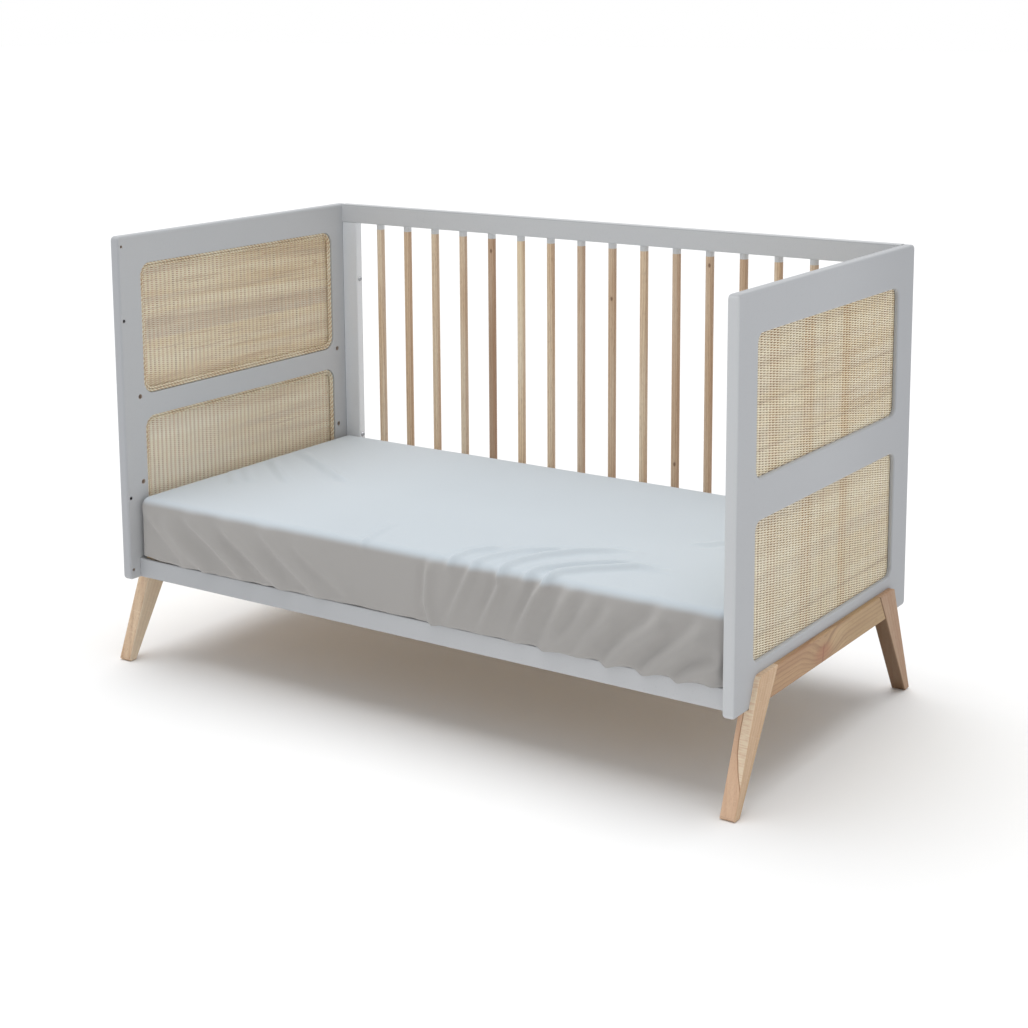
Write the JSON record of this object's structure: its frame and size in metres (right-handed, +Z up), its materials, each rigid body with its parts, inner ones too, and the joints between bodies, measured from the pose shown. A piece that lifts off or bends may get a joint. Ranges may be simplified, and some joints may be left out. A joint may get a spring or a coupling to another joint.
{
  "type": "baby crib",
  "caption": "Convertible baby crib: two end panels with cane windows on splayed legs, a barred back, a slatted base with mattress, and an open front.",
  "frame": {"origin": "on the floor under the middle of the bed (bottom centre of the bounding box)", "axes": "+X along the bed towards the right end panel, +Y from the open front to the barred back, +Z up"},
  "size_m": [1.47, 0.7638, 0.91],
  "materials": {
    "lacquer": "satin",
    "cane": "satin",
    "braid": "satin",
    "dowel_wood": "satin",
    "leg_wood": "satin",
    "slat_wood": "matte",
    "steel": "satin",
    "foam": "matte",
    "cotton": "matte"
  },
  "bodies": {
    "frame": {"end_panel_left": "lacquer", "end_panel_right": "lacquer", "cane_left_lower": "cane", "cane_left_upper": "cane", "cane_right_lower": "cane", "cane_right_upper": "cane", "trim_left_lower": "braid", "trim_left_upper": "braid", "trim_right_lower": "braid", "trim_right_upper": "braid", "back_top_rail": "lacquer", "back_bottom_rail": "lacquer", "back_stile_left": "lacquer", "back_stile_right": "lacquer", "back_dowel_1": "dowel_wood", "back_dowel_2": "dowel_wood", "back_dowel_3": "dowel_wood", "back_dowel_4": "dowel_wood", "back_dowel_5": "dowel_wood", "back_dowel_6": "dowel_wood", "back_dowel_7": "dowel_wood", "back_dowel_8": "dowel_wood", "back_dowel_9": "dowel_wood", "back_dowel_10": "dowel_wood", "back_dowel_11": "dowel_wood", "back_dowel_12": "dowel_wood", "back_dowel_13": "dowel_wood", "back_dowel_14": "dowel_wood", "back_dowel_15": "dowel_wood", "back_dowel_16": "dowel_wood", "stile_bolts": "steel", "bolt_inserts": "steel", "joint_pins": "dowel_wood", "leg_left_front": "leg_wood", "leg_left_back": "leg_wood", "leg_right_front": "leg_wood", "leg_right_back": "leg_wood", "crossbar_left": "leg_wood", "crossbar_right": "leg_wood", "leg_screws": "steel", "base_pins": "steel"},
    "base": {"base_front_rail": "lacquer", "base_back_rail": "lacquer", "base_end_rail_left": "slat_wood", "base_end_rail_right": "slat_wood", "base_centre_beam": "slat_wood", "base_slat_1": "slat_wood", "base_slat_2": "slat_wood", "base_slat_3": "slat_wood", "base_slat_4": "slat_wood", "base_slat_5": "slat_wood", "base_slat_6": "slat_wood", "base_slat_7": "slat_wood", "base_slat_8": "slat_wood", "base_slat_9": "slat_wood", "base_slat_10": "slat_wood", "slat_screws": "steel"},
    "mattress": {"mattress": "foam", "fitted_sheet": "cotton"}
  },
  "joints": [
    {"name": "base_height", "type": "slide", "parent": "frame", "child": "base", "axis": [0, 0, 1], "range_m": [0, 0.367]},
    {"name": "mattress_lift", "type": "slide", "parent": "base", "child": "mattress", "axis": [0, 0, 1], "range_m": [0, 0.3]}
  ]
}
